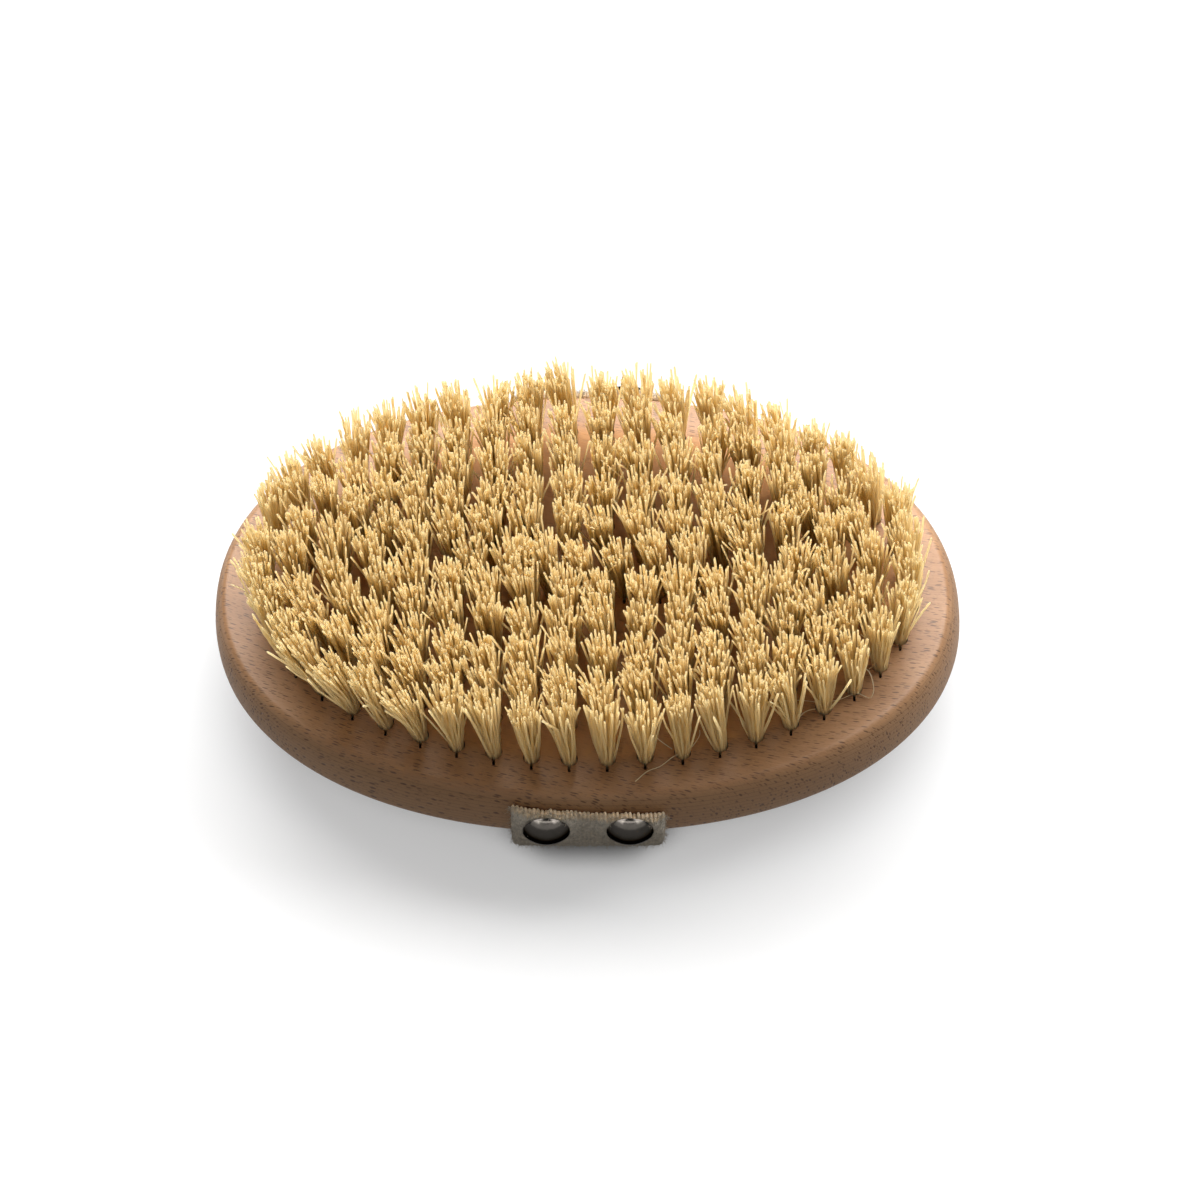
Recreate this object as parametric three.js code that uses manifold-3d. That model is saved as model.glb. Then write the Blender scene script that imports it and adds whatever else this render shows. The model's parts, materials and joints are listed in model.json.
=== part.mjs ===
// Oval wooden body brush: a beech block planted with rows of plant-fibre tufts, and a webbing
// strap that runs across the back of the block and is nailed to the middle of both long sides.
// Millimetres, +Z up. X runs along the block, Y across it, and the bristles point up.
// The origin lies under the middle of the brush, on the surface that the strap rests on.
import * as THREE from 'three';
import { mergeVertices } from 'three/addons/utils/BufferGeometryUtils.js';
import Module from 'manifold-3d';

// Wooden block
const BLOCK_LENGTH = 140;
const BLOCK_WIDTH = 89.4;
const BLOCK_THICKNESS = 16;
const BLOCK_SQUARENESS = 2.14; // exponent of the oval outline: 2 is an ellipse, more is squarer
const RIM_INSET = 3.2; // how far the ridge round the top face stands back from the widest outline
const RIM_DROP = 9.3; // depth of the widest outline below the top face
const BACK_INSET = 9.3; // how far the flat back stands in from the widest outline
const OUTLINE_POINTS = 72;
const EDGE_STEPS = 3; // half the number of steps round each rounded edge

// Rows of tufts, from the outer row inwards to a line along the middle
const BRISTLE_LENGTH = 21; // free length above the top face
const EDGE_MARGIN = 9.8; // from the widest outline to the middle of the outer row
const TUFT_PITCH = 6.7; // least pitch of the tufts along their row, and nearly that between rows
const ROW_SQUARING = 0.9; // how much squarer than an ellipse the innermost row is
const ROW_POINTS = 48;
const TUFT_ROOT = 2.8; // width of a tuft where it leaves the wood
const TUFT_TIP_GAP = 2.4; // between the flared tips of neighbouring tufts
const STRANDS_PER_TUFT = 2;
const STRAND_GAP = 0.4; // between the strands of one tuft
const TIP_SWEEP = 2; // how far the fibre is combed towards -X at its tips
const SLICE_THICKNESS = 3; // slice of wood that a group of rows stands in
const ROOT_DEPTH = 2; // how deep the strands go into their slice
const SINGLE_ROWS = 3; // outer rows that have a slice each; the rest share one

// Webbing strap
const STRAP_WIDTH = 28;
const STRAP_THICKNESS = 1.5;
const STRAP_END_DROP = 2.1; // from the top face down to the cut ends of the strap
const HAND_GAP = 5; // slack between the back of the block and the strap
const BEND_STEPS = 8;

// Dome-headed tacks
const TACK_SPACING = 15.2;
const TACK_DROP = 6; // from the top face down to the tacks, where they go through the strap
const TACK_HEAD_DIAMETER = 8.6;
const TACK_HEAD_HEIGHT = 1.8;
const TACK_HEAD_WALL = 0.6;
const TACK_SHANK_DIAMETER = 1.6;
const TACK_SHANK_LENGTH = 12;
const TACK_POINT_LENGTH = 3;
const TACK_SIDES = 20;
const DOME_STEPS = 2; // half the number of steps from the rim to the middle of a dome
const HOLE_SIDES = 12;

// Fits
const CLEARANCE = 0.3; // between pieces that touch
const OVERCUT = 1; // how far a cut runs past the surface that it opens
const MERGE_TOLERANCE = 1e-4;

// Levels and half sizes
const halfLength = BLOCK_LENGTH / 2;
const halfWidth = BLOCK_WIDTH / 2;
const backLevel = STRAP_THICKNESS + HAND_GAP;
const topLevel = backLevel + BLOCK_THICKNESS;
const widestLevel = topLevel - RIM_DROP;
const tackLevel = topLevel - TACK_DROP;
const strapInside = halfWidth + CLEARANCE;
const strapOutside = strapInside + STRAP_THICKNESS;
const shankRadius = TACK_SHANK_DIAMETER / 2;
const tackHoleRadius = shankRadius + CLEARANCE;

const beech = new THREE.MeshStandardMaterial({ color: 0xb98c6a, roughness: 0.6, metalness: 0 });
const plantFibre = new THREE.MeshStandardMaterial({ color: 0xd8b478, roughness: 0.75, metalness: 0 });
const cotton = new THREE.MeshStandardMaterial({ color: 0xb9ab97, roughness: 0.95, metalness: 0 });
const darkSteel = new THREE.MeshStandardMaterial({ color: 0x55504a, roughness: 0.2, metalness: 1 });

const wasm = await Module();
wasm.setup();

function toSolid(geometry) {
  const bare = geometry.clone();
  bare.deleteAttribute('normal');
  bare.deleteAttribute('uv');
  const welded = mergeVertices(bare, MERGE_TOLERANCE);
  const corners = welded.index.array;
  const triVerts = [];
  for (let i = 0; i < corners.length; i += 3) {
    const [a, b, c] = corners.slice(i, i + 3);
    const collapsed = a === b || b === c || c === a;
    if (!collapsed) triVerts.push(a, b, c);
  }
  return new wasm.Manifold(new wasm.Mesh({
    numProp: 3,
    vertProperties: new Float32Array(welded.attributes.position.array),
    triVerts: new Uint32Array(triVerts),
  }));
}

function toGeometry(solid) {
  const mesh = solid.getMesh();
  const geometry = new THREE.BufferGeometry();
  geometry.setAttribute('position', new THREE.BufferAttribute(mesh.vertProperties, mesh.numProp));
  geometry.setIndex(new THREE.BufferAttribute(mesh.triVerts, 1));
  geometry.computeVertexNormals();
  return geometry;
}

function named(name, geometry, material) {
  const mesh = new THREE.Mesh(geometry, material);
  mesh.name = name;
  return mesh;
}

// Point of an oval at an angle; the exponent is 2 for an ellipse
function ovalPoint(angle, alongX, alongY, exponent) {
  const cosine = Math.cos(angle);
  const sine = Math.sin(angle);
  return new THREE.Vector2(
    alongX * Math.sign(cosine) * Math.abs(cosine) ** (2 / exponent),
    alongY * Math.sign(sine) * Math.abs(sine) ** (2 / exponent),
  );
}

function ovalOutline(alongX, alongY, exponent, count) {
  const points = [];
  for (let i = 0; i < count; i += 1) {
    points.push(ovalPoint((2 * Math.PI * i) / count, alongX, alongY, exponent));
  }
  return points;
}

// Angle on the curve of the rim, or on a curve outside it, where it reaches a level
function rimAngle(level, outside) {
  return Math.asin((level - widestLevel) / (RIM_DROP + outside));
}

// Tuft rows: level 0 is the outer row, and whole levels count inwards by one row spacing
const fieldHalfLength = halfLength - EDGE_MARGIN;
const fieldHalfWidth = halfWidth - EDGE_MARGIN;
const rowCount = Math.max(SINGLE_ROWS, Math.round(fieldHalfWidth / TUFT_PITCH));
const rowSpacing = fieldHalfWidth / rowCount;

function rowOutline(level, shift, count) {
  const inwards = level * rowSpacing - shift;
  const depth = Math.max(0, level) / (rowCount - 1);
  const exponent = 2 + ROW_SQUARING * depth ** 2;
  return ovalOutline(fieldHalfLength - inwards, fieldHalfWidth - inwards, exponent, count);
}

// Slices part midway between rows
function sliceEdge(level, shift) {
  return rowOutline(level - 1 / 2, shift, ROW_POINTS);
}

// Evenly spaced tufts of one row, alike on both halves and staggered from row to row
function rowTufts(level) {
  const outline = new THREE.Path(rowOutline(level, 0, OUTLINE_POINTS));
  outline.closePath();
  const count = 2 * Math.floor(outline.getLength() / TUFT_PITCH / 2);
  const stagger = level % 2 === 0 ? 0.5 : 0;
  const tufts = [];
  for (let i = 0; i < count; i += 1) {
    const along = (i + stagger) / count;
    tufts.push({ place: outline.getPointAt(along), row: outline.getTangentAt(along) });
  }
  return tufts;
}

function middleTufts() {
  const reach = fieldHalfLength - fieldHalfWidth;
  const pairs = Math.floor(reach / TUFT_PITCH);
  const tufts = [];
  for (let i = -pairs; i <= pairs; i += 1) {
    tufts.push({ place: new THREE.Vector2(i * TUFT_PITCH, 0), row: new THREE.Vector2(1, 0) });
  }
  return tufts;
}

// One four-sided strand: a share of its tuft, which flares from the root to the tip
function strandGeometry(tuft, index) {
  const strand = new THREE.BoxGeometry(1, 1, 1);
  const corners = strand.attributes.position;
  const tuftTip = TUFT_PITCH - TUFT_TIP_GAP;
  for (let i = 0; i < corners.count; i += 1) {
    const atTip = corners.getZ(i) > 0;
    const tuftWidth = atTip ? tuftTip : TUFT_ROOT;
    const share = (tuftWidth - STRAND_GAP * (STRANDS_PER_TUFT - 1)) / STRANDS_PER_TUFT;
    const middle = (index - (STRANDS_PER_TUFT - 1) / 2) * (share + STRAND_GAP);
    const height = atTip ? BRISTLE_LENGTH : -ROOT_DEPTH;
    corners.setXYZ(i, middle + corners.getX(i) * share, corners.getY(i) * tuftWidth, height);
  }
  strand.rotateZ(tuft.row.angle());
  for (let i = 0; i < corners.count; i += 1) {
    const atTip = corners.getZ(i) > 0;
    corners.setX(i, corners.getX(i) - (atTip ? TIP_SWEEP : 0));
  }
  strand.translate(tuft.place.x, tuft.place.y, topLevel);
  return strand;
}

// Rows of strands on the slice of wood that they stand in; a slice of the innermost rows is whole
function bristleRows(name, firstLevel, lastLevel, tufts) {
  const gap = CLEARANCE / 2;
  const face = new THREE.Shape(sliceEdge(firstLevel, -gap));
  const reachesMiddle = lastLevel === rowCount;
  if (!reachesMiddle) face.holes.push(new THREE.Path(sliceEdge(lastLevel + 1, gap)));
  const slice = new THREE.ExtrudeGeometry(face, { depth: SLICE_THICKNESS, bevelEnabled: false });
  slice.translate(0, 0, topLevel - SLICE_THICKNESS);
  let rows = toSolid(slice);
  for (const tuft of tufts) {
    for (let i = 0; i < STRANDS_PER_TUFT; i += 1) {
      rows = rows.add(toSolid(strandGeometry(tuft, i)));
    }
  }
  return named(name, toGeometry(rows), plantFibre);
}

// Block: turned profile drawn out to the oval outline, level by level
function turnedOval() {
  const profile = new THREE.Path();
  const backDrop = widestLevel - backLevel;
  profile.moveTo(0, backLevel);
  profile.lineTo(halfWidth - BACK_INSET, backLevel);
  profile.absellipse(halfWidth - BACK_INSET, widestLevel, BACK_INSET, backDrop, -Math.PI / 2, 0);
  profile.absellipse(halfWidth - RIM_INSET, widestLevel, RIM_INSET, RIM_DROP, 0, Math.PI / 2);
  profile.lineTo(0, topLevel);
  const turned = new THREE.LatheGeometry(profile.getPoints(EDGE_STEPS), OUTLINE_POINTS);
  turned.rotateX(Math.PI / 2);
  const points = turned.attributes.position;
  for (let i = 0; i < points.count; i += 1) {
    const radius = Math.hypot(points.getX(i), points.getY(i));
    if (radius < MERGE_TOLERANCE) continue;
    const angle = Math.atan2(points.getY(i), points.getX(i));
    const inset = halfWidth - radius;
    const drawn = ovalPoint(angle, halfLength - inset, halfWidth - inset, BLOCK_SQUARENESS);
    points.setXY(i, drawn.x, drawn.y);
  }
  return turned;
}

function slicePocket() {
  const depth = SLICE_THICKNESS + CLEARANCE;
  const face = new THREE.Shape(sliceEdge(0, CLEARANCE / 2));
  const pocket = new THREE.ExtrudeGeometry(face, { depth: depth + OVERCUT, bevelEnabled: false });
  pocket.translate(0, 0, topLevel - depth);
  return pocket;
}

// A tack stands square to the outside of the strap, its rim one clearance away; its own axis is Y
function placeTack(object, tack) {
  const seat = strapOutside - halfWidth + CLEARANCE;
  const along = RIM_INSET + seat;
  const up = RIM_DROP + seat;
  const angle = rimAngle(tackLevel, seat);
  const tilt = Math.atan2(Math.sin(angle) / up, Math.cos(angle) / along);
  const y = halfWidth - RIM_INSET + along * Math.cos(angle);
  object.position.set(tack.x, tack.side * y, tackLevel);
  object.rotation.set(tilt, 0, tack.side > 0 ? 0 : Math.PI, 'ZYX');
}

// Hole of a tack, from outside the strap to past the point of the shank
function tackHole(tack) {
  const depth = TACK_SHANK_LENGTH + CLEARANCE;
  const hole = new THREE.CylinderGeometry(tackHoleRadius, tackHoleRadius, depth + OVERCUT, HOLE_SIDES);
  hole.translate(0, (OVERCUT - depth) / 2, 0);
  const stand = new THREE.Object3D();
  placeTack(stand, tack);
  stand.updateMatrix();
  return hole.applyMatrix4(stand.matrix);
}

function blockMesh(tacks) {
  let block = toSolid(turnedOval()).subtract(toSolid(slicePocket()));
  for (const tack of tacks) block = block.subtract(toSolid(tackHole(tack)));
  return named('block', toGeometry(block), beech);
}

// Strap: section in the Y-Z plane, drawn along X by the width of the webbing. It follows the rim
// from its cut ends to the widest outline, and turns under the block in one bend from there.
function strapMesh(tacks) {
  const endLevel = topLevel - STRAP_END_DROP;
  const rimY = halfWidth - RIM_INSET;
  const outsideRadius = widestLevel;
  const insideRadius = outsideRadius - STRAP_THICKNESS;
  const bendY = strapOutside - outsideRadius;
  const inner = strapInside - halfWidth;
  const outer = strapOutside - halfWidth;
  const innerEnd = rimAngle(endLevel, inner);
  const outerEnd = rimAngle(endLevel, outer);
  const left = Math.PI;
  const down = 1.5 * Math.PI;
  const right = 2 * Math.PI;
  const section = new THREE.Shape();
  section.absellipse(-rimY, widestLevel, RIM_INSET + outer, RIM_DROP + outer, left - outerEnd, left, false);
  section.absarc(-bendY, widestLevel, outsideRadius, left, down, false);
  section.absarc(bendY, widestLevel, outsideRadius, down, right, false);
  section.absellipse(rimY, widestLevel, RIM_INSET + outer, RIM_DROP + outer, 0, outerEnd, false);
  section.absellipse(rimY, widestLevel, RIM_INSET + inner, RIM_DROP + inner, innerEnd, 0, true);
  section.absarc(bendY, widestLevel, insideRadius, right, down, true);
  section.absarc(-bendY, widestLevel, insideRadius, down, left, true);
  section.absellipse(-rimY, widestLevel, RIM_INSET + inner, RIM_DROP + inner, left, left - innerEnd, true);
  const drawn = { depth: STRAP_WIDTH, bevelEnabled: false, curveSegments: BEND_STEPS };
  const band = new THREE.ExtrudeGeometry(section, drawn);
  band.translate(0, 0, -STRAP_WIDTH / 2);
  band.rotateX(Math.PI / 2);
  band.rotateZ(Math.PI / 2);
  let strap = toSolid(band);
  for (const tack of tacks) strap = strap.subtract(toSolid(tackHole(tack)));
  return named('strap', toGeometry(strap), cotton);
}

// Tack: a pressed dome on a pointed shank, turned about its own axis
function tackGeometry() {
  const headRadius = TACK_HEAD_DIAMETER / 2;
  const domeRadius = (headRadius ** 2 + TACK_HEAD_HEIGHT ** 2) / (2 * TACK_HEAD_HEIGHT);
  const domeMiddle = TACK_HEAD_HEIGHT - domeRadius;
  const insideRadius = domeRadius - TACK_HEAD_WALL;
  const rimInside = Math.sqrt(insideRadius ** 2 - domeMiddle ** 2);
  const shankAngle = Math.acos(shankRadius / insideRadius);
  const insideRimAngle = Math.acos(rimInside / insideRadius);
  const outsideRimAngle = Math.acos(headRadius / domeRadius);
  const profile = new THREE.Path();
  profile.moveTo(0, -TACK_SHANK_LENGTH);
  profile.lineTo(shankRadius, TACK_POINT_LENGTH - TACK_SHANK_LENGTH);
  profile.absarc(0, domeMiddle, insideRadius, shankAngle, insideRimAngle, true);
  profile.absarc(0, domeMiddle, domeRadius, outsideRimAngle, Math.PI / 2, false);
  return new THREE.LatheGeometry(profile.getPoints(DOME_STEPS), TACK_SIDES);
}

function tackMesh(tack) {
  const mesh = named(tack.name, tackGeometry(), darkSteel);
  placeTack(mesh, tack);
  return mesh;
}

const tacks = [];
for (const [sideName, side] of [['near', -1], ['far', 1]]) {
  for (const [handName, hand] of [['left', -1], ['right', 1]]) {
    tacks.push({ name: `tack_${sideName}_${handName}`, side, x: (hand * TACK_SPACING) / 2 });
  }
}

const bodyBrush = new THREE.Group();
bodyBrush.add(blockMesh(tacks));
for (let level = 0; level < SINGLE_ROWS; level += 1) {
  bodyBrush.add(bristleRows(`bristles_row_${level + 1}`, level, level, rowTufts(level)));
}
const innerTufts = middleTufts();
for (let level = SINGLE_ROWS; level < rowCount; level += 1) innerTufts.push(...rowTufts(level));
bodyBrush.add(bristleRows('bristles_middle', SINGLE_ROWS, rowCount, innerTufts));
bodyBrush.add(strapMesh(tacks));
for (const tack of tacks) bodyBrush.add(tackMesh(tack));

export default bodyBrush;
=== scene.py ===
# Looks of an oval body brush: a beech block planted with tufts of plant fibre, a strap of cotton
# webbing across its back and four dome-headed tacks. Metres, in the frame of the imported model.
import json
import math

import bpy
import numpy as np
from bpy.props import FloatProperty, FloatVectorProperty, IntProperty, PointerProperty
from bpy.types import Operator, Panel, PropertyGroup, Scene
from mathutils import Matrix, Vector

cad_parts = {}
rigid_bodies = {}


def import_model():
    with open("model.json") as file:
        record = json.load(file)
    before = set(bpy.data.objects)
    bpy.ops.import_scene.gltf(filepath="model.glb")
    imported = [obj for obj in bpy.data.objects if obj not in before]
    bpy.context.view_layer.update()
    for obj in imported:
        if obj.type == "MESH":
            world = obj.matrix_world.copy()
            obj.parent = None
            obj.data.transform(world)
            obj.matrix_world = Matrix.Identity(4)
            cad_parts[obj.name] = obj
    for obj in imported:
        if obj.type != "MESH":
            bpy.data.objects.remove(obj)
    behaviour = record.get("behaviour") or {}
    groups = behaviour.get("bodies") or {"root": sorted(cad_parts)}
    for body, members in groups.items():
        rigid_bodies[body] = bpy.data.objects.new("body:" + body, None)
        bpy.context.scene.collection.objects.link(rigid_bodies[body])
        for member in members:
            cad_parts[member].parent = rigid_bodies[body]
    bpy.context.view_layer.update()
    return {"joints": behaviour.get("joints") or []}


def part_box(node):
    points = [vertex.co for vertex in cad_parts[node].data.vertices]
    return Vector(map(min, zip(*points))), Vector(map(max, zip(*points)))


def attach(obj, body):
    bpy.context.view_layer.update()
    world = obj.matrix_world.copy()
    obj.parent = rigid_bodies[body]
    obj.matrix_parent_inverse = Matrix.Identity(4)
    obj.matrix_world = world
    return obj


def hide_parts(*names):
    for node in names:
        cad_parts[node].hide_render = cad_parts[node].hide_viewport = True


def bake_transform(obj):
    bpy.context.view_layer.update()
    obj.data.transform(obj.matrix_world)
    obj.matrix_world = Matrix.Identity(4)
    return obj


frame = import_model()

bl_info = {
    "name": "Body brush looks",
    "version": (1, 0, 0),
    "blender": (4, 5, 0),
    "location": "3D View > Sidebar > Body brush",
    "description": "Models the finished looks of an oval body brush around its frame",
    "category": "Object",
}

# Sizes that the frame gives
BLOCK_LOW, BLOCK_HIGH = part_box("block")
STRAP_LOW, STRAP_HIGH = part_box("strap")
FIBRE_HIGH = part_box("bristles_row_1")[1]
TACK_NAMES = ("tack_near_left", "tack_near_right", "tack_far_left", "tack_far_right")
SINGLE_ROWS = ("bristles_row_1", "bristles_row_2", "bristles_row_3")
MIDDLE_ROWS = "bristles_middle"
TOP = BLOCK_HIGH.z
BACK = BLOCK_LOW.z
HALF_LENGTH = BLOCK_HIGH.x
HALF_WIDTH = BLOCK_HIGH.y
TACK_LEVEL = frame["joints"][0]["deforming_nodes"][0]["fixed_end_z_m"]
MM = 0.001


def length(name, description, default):
    """A size in metres."""
    return FloatProperty(name=name, description=description, default=default, unit="LENGTH", precision=5)


def number(name, description, default):
    """A plain number."""
    return FloatProperty(name=name, description=description, default=default)


def angle(name, description, degrees):
    """A turn, given in degrees and held in radians."""
    return FloatProperty(name=name, description=description, default=math.radians(degrees), subtype="ANGLE")


def count(name, description, default):
    """How many."""
    return IntProperty(name=name, description=description, default=default, min=1)


def colour(name, description, default):
    """A linear colour."""
    return FloatVectorProperty(
        name=name, description=description, default=default, size=3, subtype="COLOR", min=0, max=1)


class BlockLooks(PropertyGroup):
    """Sizes and colours of the beech block."""
    squareness: number("Squareness", "Exponent of the oval: 2 is an ellipse, more is squarer", 2.14)
    rim_inset: length("Rim inset", "From the widest outline in to the ridge", 3.2 * MM)
    rim_drop: length("Rim drop", "From the top face down to the widest outline", 9.3 * MM)
    back_inset: length("Back inset", "From the widest outline in to the flat back", 9.3 * MM)
    ridge_shift: length("Ridge shift", "How far sanding moved the ridge towards -X", 0.5 * MM)
    ridge_flat: length("Ridge flat", "Strip of the top face that keeps its edge crisp", 0.4 * MM)
    outline_points: count("Outline points", "Points round the oval", 192)
    edge_steps: count("Edge steps", "Steps round each rounded edge", 12)
    hole_diameter: length("Hole diameter", "Drilled hole of one tuft", 3.1 * MM)
    hole_depth: length("Hole depth", "Depth of the drilled holes", 3.5 * MM)
    slit_width: length("Slit width", "Cut that the anchor leaves beside its hole", 0.5 * MM)
    slit_length: length("Slit length", "How far the cut runs out of its hole", 1.15 * MM)
    slit_depth: length("Slit depth", "How deep the cut goes", 2.8 * MM)
    hole_sides: count("Hole sides", "Sides of a drilled hole", 16)
    pale: colour("Pale wood", "Lightest tone of the beech", (0.43, 0.228, 0.104))
    warm: colour("Warm wood", "Darkest tone of the plain beech", (0.34, 0.17, 0.071))
    rim: colour("Rim", "Tone of the rounded edge", (0.33, 0.19, 0.10))
    # Wood among the tufts, lighter and warmer: painted light that stands for light bounced off the fibre
    field: colour("Field", "Wood among the tufts, warmed by the fibre", (0.62, 0.32, 0.12))
    fleck: colour("Fleck", "Short dark flecks along the grain", (0.09, 0.042, 0.019))


class TuftLooks(PropertyGroup):
    """Rows of tufts, and the fibres in them."""
    edge_margin: length("Edge margin", "From the widest outline to the outer row", 9.8 * MM)
    pitch: length("Pitch", "Least pitch of the tufts along a row", 6.7 * MM)
    row_squaring: number("Row squaring", "How much squarer than an ellipse the innermost row is", 0.9)
    row_points: count("Row points", "Points along a row's outline", 72)
    fibres: count("Fibres", "Fibres in one tuft", 60)
    sides: count("Sides", "Sides of one fibre", 5)
    thickness: length("Fibre thickness", "Mean diameter of a fibre", 0.43 * MM)
    root: length("Root", "Diameter of a tuft in its hole", 2.95 * MM)
    root_scatter: length("Root scatter", "How unevenly the roots are packed", 0.04 * MM)
    root_depth: length("Root depth", "How deep the fibres go into their hole", 2 * MM)
    free_length: length("Free length", "Mean length above the wood", FIBRE_HIGH.z - TOP - 0.7 * MM)
    unevenness: length("Unevenness", "Spread of the fibre lengths", 0.9 * MM)
    tuft_unevenness: length("Tuft unevenness", "Spread of the lengths of whole tufts", 0.35 * MM)
    overreach: length("Overreach", "How far the longest fibres pass the frame's", 0.6 * MM)
    flare: number("Flare", "Spread of the tips against the root", 2.45)
    flare_outer: number("Flare, outer", "Spread of the tips of the outer row", 2.45)
    flare_scatter: number("Flare scatter", "How unevenly the tufts spread", 0.2)
    tip_scatter: length("Tip scatter", "How unevenly the tips lie in their tuft", 0.32 * MM)
    comb_scatter: length("Comb scatter", "How unevenly the tufts are combed", 0.6 * MM)
    bow: length("Bow", "How far a fibre bows between its root and its tip", 0.27 * MM)
    wave: length("Wave", "How far a fibre waves from side to side", 0.07 * MM)
    stray_share: number("Stray share", "Share of the fibres that stray out of their tuft", 0.18)
    short_share: number("Short share", "Share of the fibres that are short", 0.07)
    bent_share: number("Bent share", "Share of the fibres with bent ends", 0.03)
    olive_share: number("Olive share", "Share of the dark fibres", 0.0011)
    lean: length("Lean", "How far the tips are combed towards -X", 1.3 * MM)
    lean_corner: length("Lean, corner", "How much further they are combed at the near left", 2.6 * MM)
    draw_in: length("Draw in", "How far the tips at both ends are drawn inwards", 1.1 * MM)
    lean_near: length("Lean, near", "How far the tips of the near row lean towards +Y", 0.3 * MM)
    lean_far: length("Lean, far", "How far the tips of the other rows lean towards -Y", 1.3 * MM)
    seed: count("Seed", "Start of the random draws", 11)
    # Fibre near the wood, darker and more saturated: painted shade among the tufts
    deep: colour("Deep fibre", "Fibre near the wood", (0.985, 0.76, 0.40))
    body: colour("Fibre", "Middle of the fibre", (0.985, 0.875, 0.63))
    # Cut ends: a greyer tone of their own, made darker as painted shade over the brightly lit tops
    tip: colour("Tip", "Cut ends", (0.62, 0.58, 0.47))
    through: colour("Through", "Light that passes through a fibre", (0.995, 0.89, 0.64))
    olive: colour("Olive fibre", "The few dark fibres", (0.16, 0.135, 0.06))


class StrapLooks(PropertyGroup):
    """Cotton webbing."""
    thickness: length("Thickness", "Of the webbing", 1.5 * MM)
    clearance: length("Clearance", "Between the webbing and the block", 0.3 * MM)
    ribs: count("Ribs", "Yarns across the webbing", 37)
    rib_height: length("Rib height", "Height of the yarns on the face", 0.016 * MM)
    roughness: length("Roughness", "Unevenness of the soft surface", 0.12 * MM)
    stitch: length("Stitch", "Length of one pick along a yarn", 0.95 * MM)
    skew: length("Skew", "How much longer the near cut is on its left", 1.9 * MM)
    trim: length("Trim", "How far the yarns stop short of the frame's cut", 0.5 * MM)
    curl: length("Curl", "How far the edges draw in where the webbing bends under", 1.3 * MM)
    curl_place: length("Curl place", "From a cut end to where the edges draw in most", 16.5 * MM)
    curl_reach: length("Curl reach", "How far along the webbing the edges draw in", 3.6 * MM)
    edge_round: length("Edge round", "Width of the rounding along both edges", 0.9 * MM)
    end_round: length("End round", "Length of the rounding at a cut end", 0.35 * MM)
    yarn_end: length("Yarn end", "How unevenly the cut yarns end", 0.6 * MM)
    # Both reaches also set how far the paler colours at and near the cut ends reach, which are partly
    # painted light
    cut_reach: length("Cut reach", "Length of the frayed cut ends", 0.8 * MM)
    nap_reach: length("Nap reach", "How far from a cut end the nap is raised", 9 * MM)
    swell: length("Swell", "Width of the swelling round a tack's head", 2.6 * MM)
    hairs: count("Hairs", "Loose hairs on the webbing", 9000)
    seed: count("Seed", "Start of the random draws", 5)
    face: colour("Face", "Yarn on the face", (0.62, 0.535, 0.42))
    # Colour between the yarns, darker than the face: painted shade in the grooves
    painted_hollow_shade: colour("Hollow", "Between the yarns", (0.57, 0.49, 0.38))
    # Paler near the cut ends: raised nap there, and painted light on the upper part of the strap
    nap: colour("Nap", "Raised nap near the ends", (0.96, 0.87, 0.73))
    # Tan yarn ends, made much brighter as painted light on these upward faces
    cut: colour("Cut", "Cut yarn ends", (1.0, 0.80, 0.55))


class TackLooks(PropertyGroup):
    """Dome-headed tacks."""
    head_diameter: length("Head diameter", "Across the dome", 8.6 * MM)
    head_height: length("Head height", "From the rim to the top of the dome", 1.8 * MM)
    wall: length("Wall", "Thickness of the pressed dome", 0.6 * MM)
    shank_diameter: length("Shank diameter", "Of the nail", 1.6 * MM)
    shank_length: length("Shank length", "From the rim to the point", 12 * MM)
    point_length: length("Point length", "Of the sharpened end", 3 * MM)
    tip_radius: length("Tip radius", "Half the width of the blunted point", 0.02 * MM)
    lip: length("Lip", "Width of the rounded edge of the dome", 0.12 * MM)
    sides: count("Sides", "Steps round the head", 64)
    steps: count("Steps", "Steps from the rim to the top", 14)
    # Near black, darker than the real polished steel: a painted reflection of the dark surroundings it
    # mirrors
    steel: colour("Steel", "Dark polished steel", (0.029, 0.026, 0.023))
    smudge: colour("Smudge", "Dull patches", (0.024, 0.022, 0.019))


class StrayLooks(PropertyGroup):
    """Loose fine fibres round the edge of the tufts."""
    thickness: length("Thickness", "Of a loose fibre", 0.2 * MM)
    sides: count("Sides", "Of a loose fibre", 5)
    steps: count("Steps", "Along a loose fibre", 28)


class StageLooks(PropertyGroup):
    """Camera, light and floor."""
    elevation: angle("Elevation", "Of the camera above the table", 61)
    distance: length("Distance", "From the camera to the middle of the top face", 664.3 * MM)
    lens: number("Lens", "Focal length in millimetres", 106.9)
    shift_x: number("Shift X", "Framing to the side", 0.00983)
    shift_y: number("Shift Y", "Framing up and down", -0.00745)
    key_azimuth: angle("Key azimuth", "Of the strip softbox, from +Y towards +X", 13)
    key_elevation: angle("Key elevation", "Of the softbox above the floor", 58)
    key_distance: length("Key distance", "From the brush to the softbox", 1.4)
    key_width: length("Key width", "Level side of the softbox", 2.8)
    key_height: length("Key height", "Other side of the softbox", 0.55)
    key_strength: number("Key strength", "Of the strip softbox, in watts", 42)
    back_strength: number("Back strength", "Of the low softbox behind, in watts", 17)
    side_strength: number("Side strength", "Of the smaller softbox at the right, in watts", 1.2)
    panel_strength: number("Panel strength", "Of the panels for the tacks, in watts per square metre", 48)
    ambient: number("Ambient", "Light from all round", 0.29)
    floor_size: length("Floor size", "Side of the floor", 6)
    # Reach of the painted contact shadow that dims the floor's glow
    contact: length("Contact", "Reach of the soft shadow where the brush meets the floor", 10 * MM)


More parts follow.
